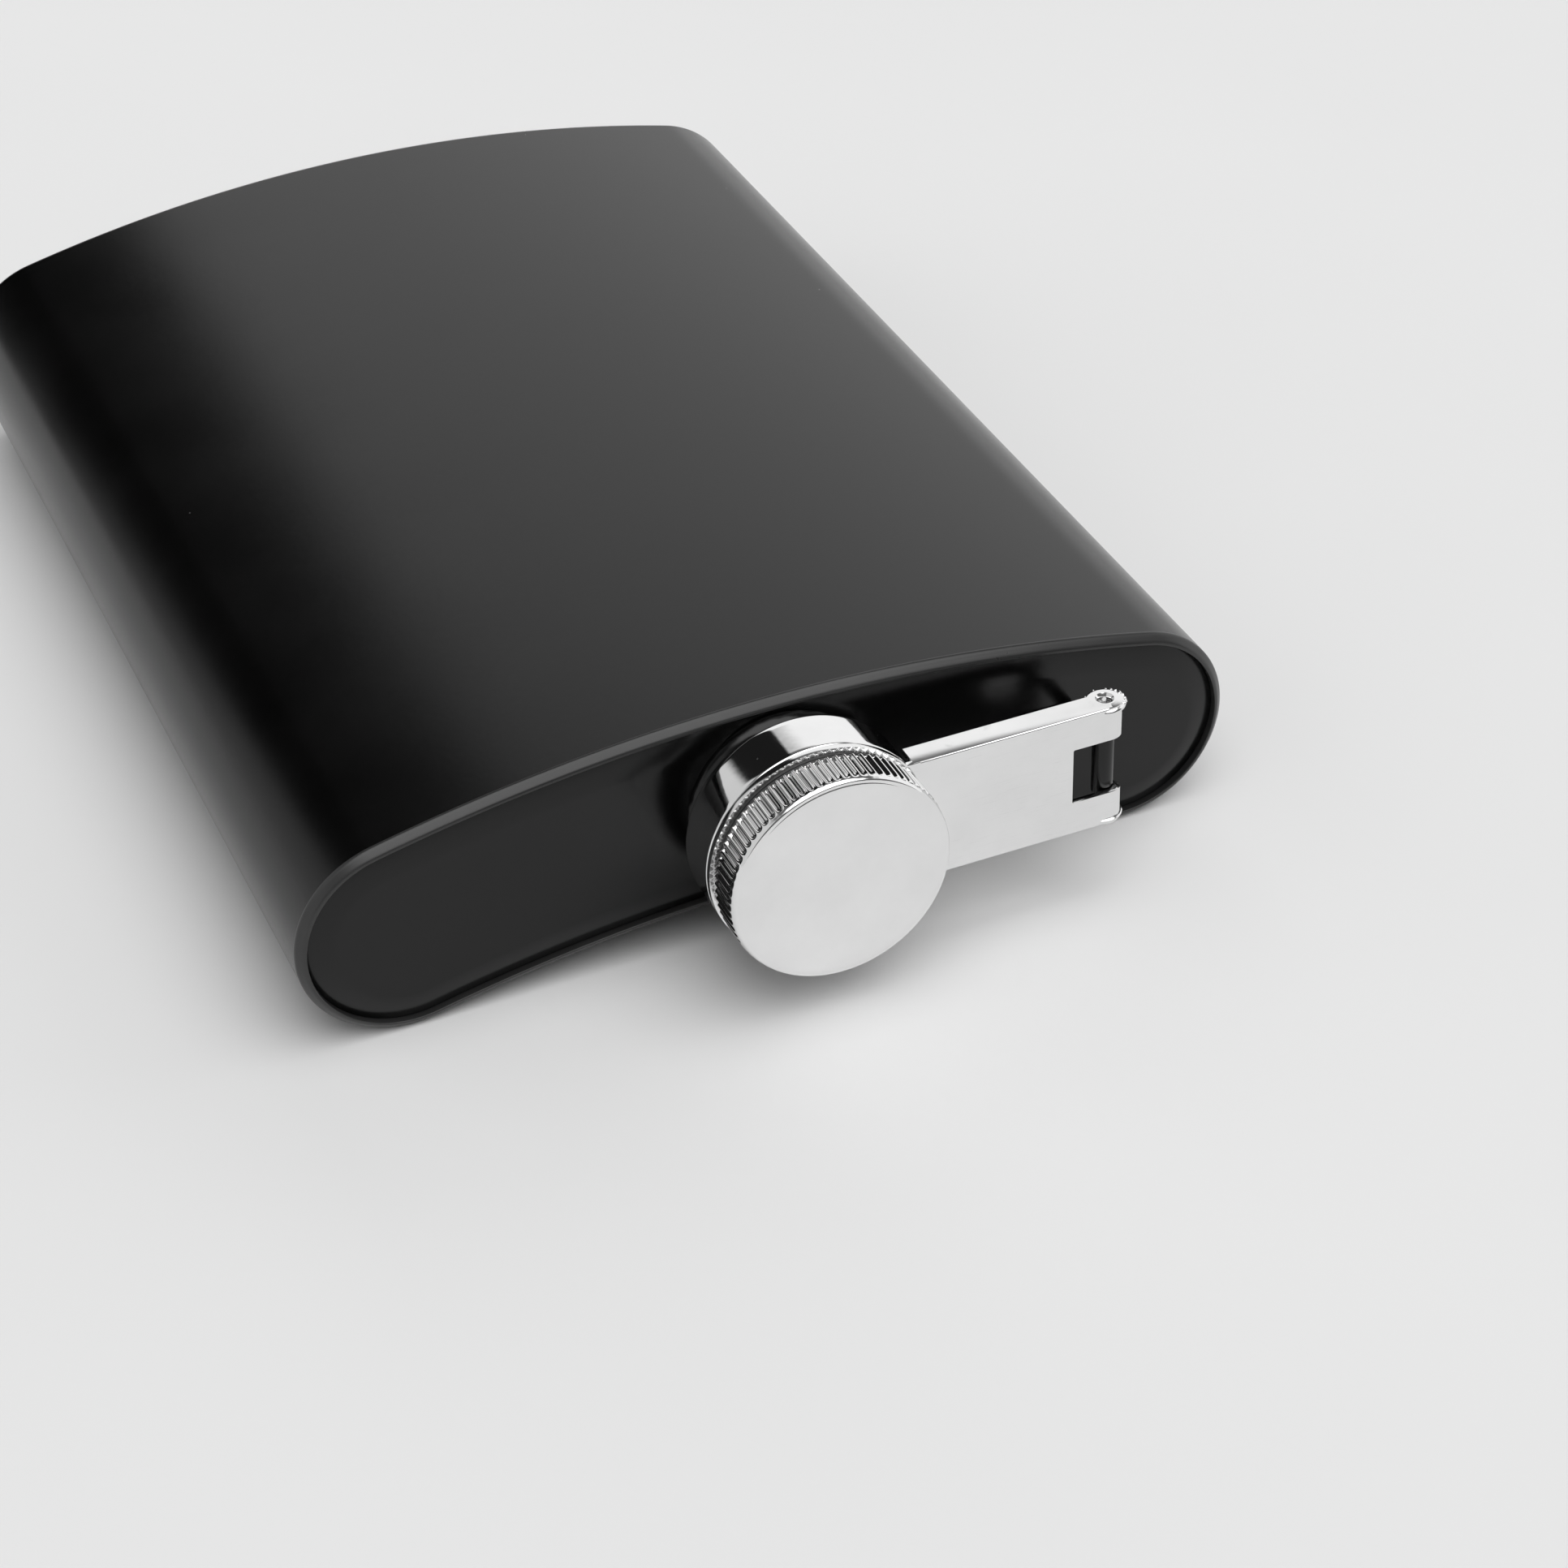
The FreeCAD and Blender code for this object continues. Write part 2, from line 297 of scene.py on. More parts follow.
def black_paint(name, rough=0.22, peel=0.02, base=0.0012, ior=1.42):
    """Satin black paint: a faint orange peel, roughness that drifts, and specks of dust."""
    n = Nodes(name)
    drift = n.noise(0.06, 3)
    grain = n.noise(1.7, 2)
    dust = n.specks(0.22, 0.022, 0.45)
    colour = n.mix(n.range(drift, 0.35, 0.65, 0, 1), base, base * 1.7)
    colour = n.mix(dust, colour, 0.30)
    roughness = n.math("ADD", n.range(drift, 0.3, 0.7, rough - 0.02, rough + 0.02),
                       n.range(grain, 0.3, 0.7, -0.012, 0.012))
    normal = n.bump(grain, 0.12, peel)
    normal = n.bump(dust, 0.6, 0.02, normal)
    return n.finish(Base_Color=colour, Roughness=roughness, IOR=ior, Normal=normal)


def chrome(name, grey=0.85, rough=0.045, wave=0.0025, pimple=0.003, scratch=0.0):
    """Bright plate: slight waves, tiny pimples, smudges and hairline scratches."""
    n = Nodes(name)
    waves = n.noise(0.55, 2)
    smudge = n.noise(0.16, 4, rough=0.6)
    fine = n.noise(7.0, 2)
    dots = n.specks(1.3, 0.10, 0.22)
    lines = n.noise(1.0, 3, n.stretched(0.35, 0.35, 14.0), 0.6)
    scored = n.range(lines, 0.60, 0.72, 0, 1)
    colour = n.mix(n.range(smudge, 0.35, 0.7, 0, 1), grey, grey * 0.95)
    colour = n.mix(n.math("MULTIPLY", scored, scratch), colour, grey * 0.75)
    roughness = n.math("ADD", n.range(smudge, 0.35, 0.75, rough, rough + 0.05),
                       n.math("MULTIPLY", scored, 0.25 * scratch))
    normal = n.bump(waves, 1.0, wave)
    normal = n.bump(fine, 0.25, 0.0016, normal)
    normal = n.bump(dots, 1.0, pimple, normal)
    return n.finish(Base_Color=colour, Metallic=1.0, Roughness=roughness, Normal=normal)


def turned_steel(name):
    """Bare stainless steel with fine turning marks round the neck's axis."""
    n = Nodes(name)
    marks = n.noise(1.0, 3, n.stretched(0.15, 16.0, 0.15), 0.7)
    cloud = n.noise(0.5, 3)
    colour = n.mix(n.range(cloud, 0.3, 0.7, 0, 1), (0.54, 0.54, 0.55), (0.62, 0.615, 0.61))
    roughness = n.math("ADD", n.range(cloud, 0.3, 0.7, 0.20, 0.28),
                       n.range(marks, 0.3, 0.7, -0.05, 0.05))
    normal = n.bump(marks, 0.35, 0.01)
    return n.finish(Base_Color=colour, Metallic=1.0, Roughness=roughness, Normal=normal)


def raw_weld(name):
    n = Nodes(name)
    cloud = n.noise(0.8, 4)
    ripple = n.noise(1.0, 2, n.stretched(0.5, 2.2, 0.5))
    colour = n.mix(n.range(cloud, 0.3, 0.7, 0, 1), (0.36, 0.33, 0.30), (0.50, 0.49, 0.47))
    roughness = n.range(cloud, 0.3, 0.7, 0.32, 0.5)
    return n.finish(Base_Color=colour, Metallic=1.0, Roughness=roughness, Normal=n.bump(ripple, 0.6, 0.06))


def soft_rubber(name):
    n = Nodes(name)
    cloud = n.noise(0.4, 3)
    grain = n.noise(6.0, 2)
    colour = n.mix(n.range(cloud, 0.3, 0.7, 0, 1), (0.46, 0.44, 0.41), (0.56, 0.54, 0.50))
    roughness = n.range(grain, 0.3, 0.7, 0.55, 0.72)
    return n.finish(Base_Color=colour, Roughness=roughness, Normal=n.bump(grain, 0.4, 0.012))


def dark_plastic(name):
    n = Nodes(name)
    cloud = n.noise(0.8, 3)
    grain = n.noise(9.0, 2)
    colour = n.mix(n.range(cloud, 0.3, 0.7, 0, 1), 0.032, 0.046)
    roughness = n.range(grain, 0.3, 0.7, 0.55, 0.70)
    return n.finish(Base_Color=colour, Roughness=roughness, Normal=n.bump(grain, 0.4, 0.01))


paint = black_paint("satin_black_paint")
shell_paint = black_paint("satin_black_paint_shell", 0.22, 0.02, 0.0012, 1.37)
# The rim's copy of the satin black paint has a base colour over ten times lighter than the shell's: a
# painted highlight along the rounded rim.
rim_paint_painted_highlight = black_paint("satin_black_paint_rim_painted_highlight", 0.30, 0.02, 0.016, 1.50)
bright = chrome("bright_plate")
cup_plate = chrome("bright_plate_cup", 0.85, 0.04, 0.006, 0.007)
arm_plate = chrome("bright_plate_arm", 0.83, 0.10, 0.0012, 0.0015, 0.35)
# The pin's plate is darkened to a grey of 0.30: painted shade for the pin's ends sunk in the ears' holes.
pin_plate_painted_shade = chrome("plated_pin_painted_shade", 0.30, 0.20, 0.02, 0.01, 0.2)
steel = turned_steel("turned_steel")
weld = raw_weld("raw_weld")
rubber = soft_rubber("pale_rubber")
plastic = dark_plastic("dark_washer")


# ---------------------------------------------------------------- body
def shell_piece():
    """The wrapped sheet: outer and inner skin with closed ends."""
    y0, y1 = TOP + RIM_BAND, BASE - RIM_BAND
    bm = bmesh.new()
    outer, inner = outline(0), outline(WALL)
    along = [y0, y0 + 0.4] + spread(y0 + 2, y1 - 2, 22) + [y1 - 0.4, y1]
    rings = [ring_of(bm, [(x, y, z) for x, z in outer]) for y in along]
    rings += [ring_of(bm, [(x, y, z) for x, z in inner]) for y in (y1, (y0 + y1) / 2, y0)]
    bridge(bm, rings, True)
    return piece("flask_shell", bm, shell_paint, "flask", "black_paint", "body_shell")


def rim_piece(name, y, inwards, node):
    """The rounded weld, ground flush: fine grinding lines run along it."""
    flattened, cut_depth, first_cut, last_cut = 0.45, 0.0035, 3, 26
    bm = bmesh.new()
    profile = [(0, RIM_BAND), (0, (RIM_BAND + RIM_ROUND) / 2)]
    for x, y1 in arc(RIM_ROUND, RIM_ROUND, RIM_ROUND, 180, 270, 26):
        t = (x + RIM_ROUND - y1) / (2 * RIM_ROUND)
        ground = flattened * 4 * t * (1 - t)
        profile.append((x + (RIM_ROUND * t - x) * ground,
                        y1 + (RIM_ROUND * (1 - t) - y1) * ground))
    profile += arc(RIM_BAND - 0.07, 0.07, 0.07, 270, 360, 5)
    profile += [(RIM_BAND, RIM_BAND / 2), (RIM_BAND, RIM_BAND)]
    rings = []
    for k, (inset, depth) in enumerate(profile):
        points = []
        for i, (x, z) in enumerate(outline(inset)):
            cut = 0.0
            if first_cut <= k <= last_cut:
                cut = cut_depth * (noise.noise(Vector((i * 0.05, k * 1.9, inwards * 7))) + 0.6)
            points.append((x, y + (depth + cut) * inwards, z))
        rings.append(ring_of(bm, points))
    bridge(bm, rings, True)
    # The rim wears the lightened paint: a painted highlight along its rounded edge.
    return piece(name, bm, rim_paint_painted_highlight, "flask", "black_paint", node, sharp=60)


def plate_piece(name, y, inwards, recess, node, hole):
    """An end plate whose edge is pressed down to the rim weld, and the neck's hole in the top one."""
    bm = bmesh.new()
    drop, reach, gap = 0.60, 2.8, 0.04
    profile = [(RIM_BAND, recess + PLATE), (RIM_BAND, recess + drop + 0.05)]
    for t in spread(0, 1, 22):
        profile.append((RIM_BAND + gap + reach * t, recess + drop * (1 - t) ** 1.6))
    profile += [(RIM_BAND + gap + reach + more, recess) for more in (0.12, 0.3)]
    rings = [ring_of(bm, [(x, y + d * inwards, z) for x, z in outline(i)]) for i, d in profile]
    bridge(bm, rings)
    if hole:
        loops = []
        for ring, depth in ((rings[0], recess + PLATE), (rings[-1], recess)):
            turns = [math.atan2(v.co.z / MM - AXIS_Z, v.co.x / MM) for v in ring]
            circle_points = [(hole * math.cos(t), y + depth * inwards, AXIS_Z + hole * math.sin(t))
                             for t in turns]
            loops.append(ring_of(bm, circle_points))
        bridge(bm, [rings[0], loops[0], loops[1], rings[-1]])
    else:
        for ring in (rings[0], rings[-1]):
            edges = [bm.edges.get(pair) for pair in zip(ring, ring[1:] + ring[:1])]
            bmesh.ops.triangle_fill(bm, use_beauty=True, use_dissolve=False, edges=edges)
    return piece(name, bm, paint, "flask", "black_paint", node)


def neck_piece():
    """The threaded neck: its thread is a rounded ridge that fades in and out."""
    bore, height, crest = 7.2, 6.8, 8.85
    start, turns, fade = 1.9, 2.0, 0.09
    bottom = -RECESS - PLATE - 0.4
    lip = (NECK_R - bore) / 2
    outer = [(NECK_R, h) for h in spread(bottom, height - lip, 110)]
    over = arc(bore + lip, height - lip, lip, 0, 180, 12)[1:]
    inside = [(bore, h) for h in (3.0, 0.0, bottom + 0.15)]
    profile = outer + over + inside + [(bore + 0.15, bottom)]

    def wobble(k, r, h, turn):
        if k >= len(outer):
            return r, h
        return r + (crest - NECK_R) * thread(h, turn, start, turns, fade), h

    bm = bmesh.new()
    bridge(bm, lathe_rings(bm, profile, 180, wobble), True)
    return piece("neck", bm, steel, "flask", "steel", "neck_tube")


def neck_weld_piece():
    s, r, low = 0.8, NECK_R, -RECESS
    profile = [(r, low), (r + s, low), (r + 0.72 * s, low + 0.10 * s), (r + 0.35 * s, low + 0.35 * s),
               (r + 0.10 * s, low + 0.72 * s), (r, low + s)]

    def wobble(k, rr, h, turn):
        if k not in (2, 3, 4):
            return rr, h
        swell = 0.05 * noise.noise(Vector((math.cos(turn) * 9, math.sin(turn) * 9, k * 0.2)))
        return rr + swell - 0.03, h + swell * 0.6

    bm = bmesh.new()
    bridge(bm, lathe_rings(bm, profile, 200, wobble), True)
    return piece("neck_weld_bead", bm, paint, "flask", "black_paint", "neck_weld", sharp=70)


def bracket_piece():
    """One strip of sheet: a foot on the plate, a bend, an upright web and an eye rolled at its end."""
    outer_x = PIN_X + EYE_R
    half_web, half_eye, sheet, eye_wall = 1.0, 3.8, 0.42, 0.36
    bend, foot, rolled_to, edge_round = 0.45, 5.0, 322, 0.09
    line = []
    low = -RECESS + sheet / 2
    for x in spread(outer_x - foot, outer_x - sheet / 2 - bend, 6):
        line.append((x, low, (0, 1), sheet, half_web))
    for a in spread(-90, 0, 8)[1:]:
        t = math.radians(a)
        x = outer_x - sheet / 2 - bend + bend * math.cos(t)
        h = low + bend + bend * math.sin(t)
        line.append((x, h, (-math.cos(t), -math.sin(t)), sheet, half_web))
    for h in spread(low + bend, PIN_H, 14)[1:]:
        wide = smooth((h - PIN_H + 1.10) / 0.35)
        thin = sheet + (eye_wall - sheet) * smooth((h - PIN_H + 1.5) / 1.5)
        line.append((outer_x - thin / 2, h, (-1, 0), thin, half_web + (half_eye - half_web) * wide))
    radius = EYE_R - eye_wall / 2
    for a in spread(0, rolled_to, 44)[1:]:
        t = math.radians(a)
        line.append((PIN_X + radius * math.cos(t), PIN_H + radius * math.sin(t),
                     (-math.cos(t), -math.sin(t)), eye_wall, half_eye))
    bm = bmesh.new()
    rings = []
    for x, h, (nx, nh), thick, half in line:
        r = edge_round
        section = []
        for u, v, a0 in ((thick / 2 - r, half - r, 0), (-thick / 2 + r, half - r, 90),
                         (-thick / 2 + r, -half + r, 180), (thick / 2 - r, -half + r, 270)):
            section += arc(u, v, r, a0, a0 + 90, 4)
        rings.append(ring_of(bm, [(x + nx * u, TOP - h - nh * u, AXIS_Z + v) for u, v in section]))
    bridge(bm, rings)
    bm.faces.new(rings[0])
    bm.faces.new(rings[-1])
    return piece("hinge_strap", bm, paint, "flask", "black_paint", "hinge_bracket", sharp=50)


# ---------------------------------------------------------------- arm
def solid(points, low, high, place):
    """A closed prism object: place(u, v, w) is the 3-D point of section point (u, v) at w."""
    bm = bmesh.new()
    ends = [ring_of(bm, [place(u, v, w) for u, v in points]) for w in (low, high)]
    bridge(bm, ends)
    for end in ends:
        bm.faces.new(end)
    return loose(bm)


def loose(bm):
    """A bare object to cut or join with, from bm."""
    bmesh.ops.recalc_face_normals(bm, faces=bm.faces)
    mesh = bpy.data.meshes.new("part")
    bm.to_mesh(mesh)
    bm.free()
    obj = bpy.data.objects.new("part", mesh)
    bpy.context.scene.collection.objects.link(obj)
    return obj


def applied(obj):
    """Replaces obj's mesh with what its modifiers make of it."""
    bpy.context.view_layer.update()
    graph = bpy.context.evaluated_depsgraph_get()
    made = bpy.data.meshes.new_from_object(obj.evaluated_get(graph))
    obj.modifiers.clear()
    obj.data = made


def combine(obj, other, operation):
    step = obj.modifiers.new("step", "BOOLEAN")
    step.operation = operation
    step.solver = "EXACT"
    step.object = other
    applied(obj)
    bpy.data.objects.remove(other)


def along_x(u, v, w):
    """u is the height over the rim, v the distance over the neck's axis and w is X."""
    return (w, TOP - u, AXIS_Z + v)


def along_pin(u, v, w):
    """u and v are measured from the pin: towards +X, and outwards."""
    return (PIN_X + u, TOP - PIN_H - v, AXIS_Z + w)


def along_neck(u, v, w):
    """u is X, v the distance over the neck's axis and w the height over the rim."""
    return (u, TOP - w, AXIS_Z + v)


def circle(r, n):
    turns = [2 * math.pi * i / n for i in range(n)]
    return [(r * math.cos(t), r * math.sin(t)) for t in turns]


EAR_R, EAR_FLAT, EAR_RIM = 2.0, 1.0, 0.10
EAR_INNER, EAR_OUTER = 6.08, 6.705


def ear(side):
    """A flange's round end: flat round the hole, and coined down towards its rim."""
    profile = [(0, EAR_INNER), (EAR_R - 0.1, EAR_INNER), (EAR_R, EAR_INNER + 0.08)]
    for t in spread(0, math.pi / 2, 9)[1:]:
        profile.append((EAR_FLAT + (EAR_R - EAR_FLAT) * math.cos(t),
                        EAR_INNER + EAR_RIM + (EAR_OUTER - EAR_INNER - EAR_RIM) * math.sin(t)))
    profile.append((0, EAR_OUTER))
    bm = bmesh.new()
    rings = []
    for r, w in profile:
        points = [(0, 0)] if r < 1e-6 else circle(r, 72)
        rings.append(ring_of(bm, [along_pin(u, v, side * w) for u, v in points]))
    bridge(bm, rings)
    return loose(bm)


def lump(bm, centre, size, seed):
    """A small nodule of plating, sunk in the surface under it."""
    made = bmesh.ops.create_icosphere(bm, subdivisions=3, radius=1.0)
    for v in made["verts"]:
        d = 1 + 0.28 * noise.noise(v.co * 1.6 + Vector((seed * 3.1, 0, 0)))
        v.co = (Vector(centre) + v.co * size * d) * MM


def arm_piece():
    """The arm: a ring, folded flanges, a curled end, two ears and a notch, with every edge eased."""
    w, t, outer, low, start = ARM_HALF, ARM_SHEET, ARM_OUTER, 6.95, 9.5
    fold, crease = 0.2, 0.12
    ring_hole, ease_width = 8.9, 0.07
    inner = outer - t
    section = [(low, -w)] + arc(outer - fold, -w + fold, fold, -90, 0, 8)
    section += arc(outer - fold, w - fold, fold, 0, 90, 8)
    section += [(low, w), (low, w - t)] + arc(inner - crease, w - t - crease, crease, 90, 0, 3)
    section += arc(inner - crease, -w + t + crease, crease, 0, -90, 3) + [(low, -w + t)]
    arm = solid(section, start, PIN_X, along_x)
    side_z, bar_end = w - 0.02, start + 0.6
    plate = [(4.0, -w + 0.02), (bar_end, -w + 0.02), (bar_end, side_z), (4.0, side_z)]
    combine(arm, solid(plate, inner, outer, along_neck), "UNION")
    combine(arm, solid(circle(CAP_R, 220), inner, outer, along_neck), "UNION")
    reach = outer - PIN_H
    curl = arc(0, 0, reach, 90, 0, 20) + arc(0, 0, reach - t, 0, 90, 16)
    back = [(-0.4, reach - t), (-0.4, reach)]
    combine(arm, solid(curl + back, -w + 0.01, w - 0.01, along_pin), "UNION")
    for side in (-1, 1):
        combine(arm, ear(side), "UNION")
    combine(arm, solid(circle(ring_hole, 180), inner - 1, outer + 1, along_neck), "DIFFERENCE")
    tip = PIN_X + reach
    half, corner, notch_x, small = 3.05, 0.9, 26.0, 0.15
    notch = arc(notch_x, -half + small, small, 270, 180, 3)
    notch += arc(notch_x, half - small, small, 180, 90, 3)
    notch += arc(tip - corner, half + corner, corner, 270, 360, 8) + [(tip + 2, half + corner)]
    notch += [(tip + 2, -half - corner)] + arc(tip - corner, -half - corner, corner, 0, 90, 8)
    combine(arm, solid(notch, 4.5, outer + 1, along_neck), "DIFFERENCE")
    # the pin's holes, countersunk outside: radius and distance along the pin
    hole = [(0.66, 5.5), (0.66, 6.3), (0.74, 6.45), (0.90, 6.72), (0.95, 7.2)]
    for side in (-1, 1):
        bm = bmesh.new()
        rings = [ring_of(bm, [along_pin(u, v, side * z) for u, v in circle(r, 48)]) for r, z in hole]
        bridge(bm, rings)
        bm.faces.new(rings[0])
        bm.faces.new(rings[-1])
        combine(arm, loose(bm), "DIFFERENCE")
    bm = bmesh.new()
    bm.from_mesh(arm.data)
    bmesh.ops.remove_doubles(bm, verts=bm.verts, dist=4e-6)
    bmesh.ops.dissolve_limit(bm, angle_limit=math.radians(0.4), verts=bm.verts, edges=bm.edges)
    bm.to_mesh(arm.data)
    bm.free()
    ease = arm.modifiers.new("eased_edges", "BEVEL")
    ease.limit_method = "ANGLE"
    ease.angle_limit = math.radians(36)
    ease.width = ease_width * MM
    ease.segments = 3
    applied(arm)
    # angle round the pin in degrees, distance from it, and size
    nodules = [(-31, 1.90, 0.20), (-17, 1.93, 0.23), (-3, 1.90, 0.22), (10, 1.94, 0.21), (24, 1.91, 0.22),
               (37, 1.88, 0.17), (-44, 1.88, 0.15), (-9, 1.66, 0.15), (17, 1.68, 0.16), (-60, 1.87, 0.12),
               (-96, 1.88, 0.09), (-136, 1.88, 0.08)]
    bm = bmesh.new()
    bm.from_mesh(arm.data)
    bpy.data.objects.remove(arm)
    for seed, (angle, r, size) in enumerate(nodules):
        a = math.radians(angle)
        rise = math.sqrt(1 - (r - EAR_FLAT) ** 2)
        dome = EAR_INNER + EAR_RIM + (EAR_OUTER - EAR_INNER - EAR_RIM) * rise
        centre = along_pin(r * math.cos(a), r * math.sin(a), dome - 0.25 * size)
        lump(bm, centre, size, seed)
    return piece("folded_arm", bm, arm_plate, "arm", "chrome", "cap_arm", sharp=34)


def pin_piece():
    """The hinge pin, with dimpled, slightly ragged ends."""
    half, r, count, dent_depth = 6.40, 0.65, 48, 0.07
    bm = bmesh.new()
    end = [(0, 0.22), (0.2, 0.20), (0.38, 0.08), (0.5, 0.0), (0.6, 0.02), (r, 0.08), (r, 0.2)]
    profile = end + [(rr, 2 * half - s) for rr, s in reversed(end)]
    rings = []
    for rr, s in profile:
        z = AXIS_Z - half + s
        if rr < 1e-6:
            rings.append(ring_of(bm, [(PIN_X, TOP - PIN_H, z)]))
            continue
        outwards = 1 if s > half else -1
        points = []
        for i in range(count):
            a = 2 * math.pi * i / count
            dent = 0.0
            if rr < 0.55:
                place = Vector((math.cos(a) * 2.3, math.sin(a) * 2.3, rr * 4 + s))
                dent = max(0.0, outwards * dent_depth * noise.noise(place))
            points.append((PIN_X + rr * math.cos(a), TOP - PIN_H + rr * math.sin(a),
                           z - dent * outwards))
        rings.append(ring_of(bm, points))
    bridge(bm, rings)
    # The pin wears the darkened plate: painted shade for its ends in the ears' holes.
    return piece("pin", bm, pin_plate_painted_shade, "arm", "chrome", "hinge_pin")


# ---------------------------------------------------------------- cap
def skirt_piece():
    """The cap's cup, with a rounded lower edge outside and a rounded thread inside."""
    out, e, low, high = CAP_R, 1.3, 3.0, 8.85
    root, crest, ceiling = 9.75, 9.2, CUP_CEILING
    start, turns, fade = 4.75, 1.0, 0.07
    wall = [(root, h) for h in spread(low + 0.12, ceiling - 0.25, 80)]
    profile = [(root + 0.05, low)] + wall + arc(root - 0.25, ceiling - 0.25, 0.25, 0, 90, 4)[1:]
    profile += [(6.0, ceiling), (RIVET_R, ceiling), (RIVET_R, high), (6.0, high)]
    profile += arc(out - 0.25, high - 0.25, 0.25, 90, 0, 6)
    profile += [(out, h) for h in spread(high - 0.6, low + e + 0.1, 8)]
    profile += arc(out - e, low + e, e, 0, -90, 18)

    def wobble(k, r, h, turn):
        if not 1 <= k <= len(wall):
            return r, h
        return r + (crest - root) * thread(h, turn, start, turns, fade), h

    bm = bmesh.new()
    bridge(bm, lathe_rings(bm, profile, 240, wobble), True)
    return piece("cap_cup", bm, cup_plate, "cap", "chrome", "cap_skirt")


def gasket_piece():
    """The sealing ring, with a shallow dent where the neck's lip presses."""
    lo, hi, hole, out, low_r, high_r = 6.88, 7.88, 4.6, 9.05, 0.2, 0.1
    profile = arc(hole + low_r, lo + low_r, low_r, 180, 270, 5) + [(6.5, lo), (7.0, lo)]
    profile += arc(out - low_r, lo + low_r, low_r, 270, 360, 5)
    profile += arc(out - high_r, hi - high_r, high_r, 0, 90, 4)
    profile += arc(hole + high_r, hi - high_r, high_r, 90, 180, 4)

    def wobble(k, r, h, turn):
        if h < lo + 0.01 and 6 < r < 8.5:
            return r, h + 0.03
        return r, h

    bm = bmesh.new()
    bridge(bm, lathe_rings(bm, profile, 128, wobble), True)
    return piece("gasket", bm, rubber, "cap", "gasket", "cap_gasket")


def rivet_piece():
    """The rivet through the cap, with a domed head inside."""
    r, head, ceiling, sheet, top = RIVET_R, 4.2, CUP_CEILING, 0.6, RIVET_TOP
    profile = [(0, ceiling - sheet)]
    for t in spread(0, 1, 10)[1:]:
        profile.append((head * t * 0.96, ceiling - sheet + 0.30 * sheet * t ** 3))
    profile += arc(head - 0.16, ceiling - 0.28, 0.16, -40, 60, 5) + [(head - 0.1, ceiling), (r, ceiling)]
    profile += [(r, top - 0.1), (r - 0.1, top), (0, top)]
    bm = bmesh.new()
    bridge(bm, lathe_rings(bm, profile, 96))
    return piece("rivet", bm, steel, "cap", "steel", "cap_rivet")


def washer_piece():
    out, hole, low, high = 10.35, SPIGOT_R, 9.6, HEAD_LOW
    r = 0.1
    profile = arc(out - r, high - r, r, 90, 0, 4) + arc(out - r, low + r, r, 0, -90, 4)
    profile += arc(hole + r, low + r, r, 270, 180, 4) + arc(hole + r, high - r, r, 180, 90, 4)
    bm = bmesh.new()
    bridge(bm, lathe_rings(bm, profile, 200), True)
    return piece("friction_washer", bm, plastic, "cap", "washer", "cap_washer")


def head_piece():
    """The knurled head: rounded teeth, a smooth rounded edge and a slightly domed face."""
    teeth, per_tooth = 80, 14
    crest, valley, low, run_in, top = 10.95, 10.50, HEAD_LOW, 0.4, 14.9
    full, gone = 13.2, 14.1
    edge_r, edge_h = 10.50, 14.42
    edge_bend, tooth_bend, face_bend, wear_depth = 0.9, 1.1, 2.2, 0.012
    profile = []
    for t in spread(0, math.pi / 2, 6):
        profile.append((valley + (crest - valley) * math.sin(t), low + run_in * (1 - math.cos(t))))
    profile += [(crest, h) for h in spread(low + run_in, full, 10)[1:]]
    for t in spread(0, math.pi / 2, 26)[1:]:
        profile.append((edge_r + (crest - edge_r) * max(0.0, math.cos(t)) ** edge_bend,
                        full + (edge_h - full) * math.sin(t) ** edge_bend))
    groove = [(0.05, 0.015), (0.10, 0.0), (0.15, 0.005), (0.21, 0.045), (0.30, 0.075)]
    profile += [(edge_r - inwards, edge_h + up) for inwards, up in groove]
    face_r, base_h = profile[-1]
    for t in spread(1, 0, 24)[1:]:
        profile.append((face_r * t, base_h + (top - base_h) * (1 - t ** face_bend)))

    def wobble(k, r, h, turn):
        phase = (turn * teeth / (2 * math.pi)) % 1.0
        tooth = (0.5 - 0.5 * math.cos(2 * math.pi * phase)) ** tooth_bend
        wear = wear_depth * noise.noise(Vector((math.cos(turn) * 14, math.sin(turn) * 14, 0)))
        depth = (r - min(r, valley)) * (1 - tooth)
        if r > valley - 0.2 and h > full:
            fade = 1 - smooth((h - full) / (gone - full))
            depth = (crest - valley) * fade * (1 - tooth)
        if h < edge_h and r > 10.3:
            depth -= min(0.0, wear)
        return r - depth, h

    bm = bmesh.new()
    rings = lathe_rings(bm, profile, teeth * per_tooth, wobble)
    bridge(bm, rings)
    # the spigot under the head, and the hole for the rivet
    inside = [(SPIGOT_R, low), (SPIGOT_R, 8.95), (8.5, 8.85), (RIVET_R, 8.85),
              (RIVET_R, RIVET_TOP), (0, RIVET_TOP)]
    bridge(bm, [rings[0]] + lathe_rings(bm, inside, teeth * per_tooth))
    return piece("knurled_head", bm, bright, "cap", "chrome", "cap_head", sharp=50)


shell_piece()
rim_piece("top_rim", TOP, 1, "top_rim_weld")
rim_piece("base_rim", BASE, -1, "base_rim_weld")
plate_piece("top_end_plate", TOP, 1, RECESS, "top_plate", NECK_R)
plate_piece("base_end_plate", BASE, -1, 0.0, "base_plate", 0)
neck_piece()
neck_weld_piece()
bracket_piece()
arm_piece()
pin_piece()
skirt_piece()
gasket_piece()
rivet_piece()
washer_piece()
head_piece()

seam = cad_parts["side_seam_weld"]
seam.data.materials.clear()
seam.data.materials.append(weld)


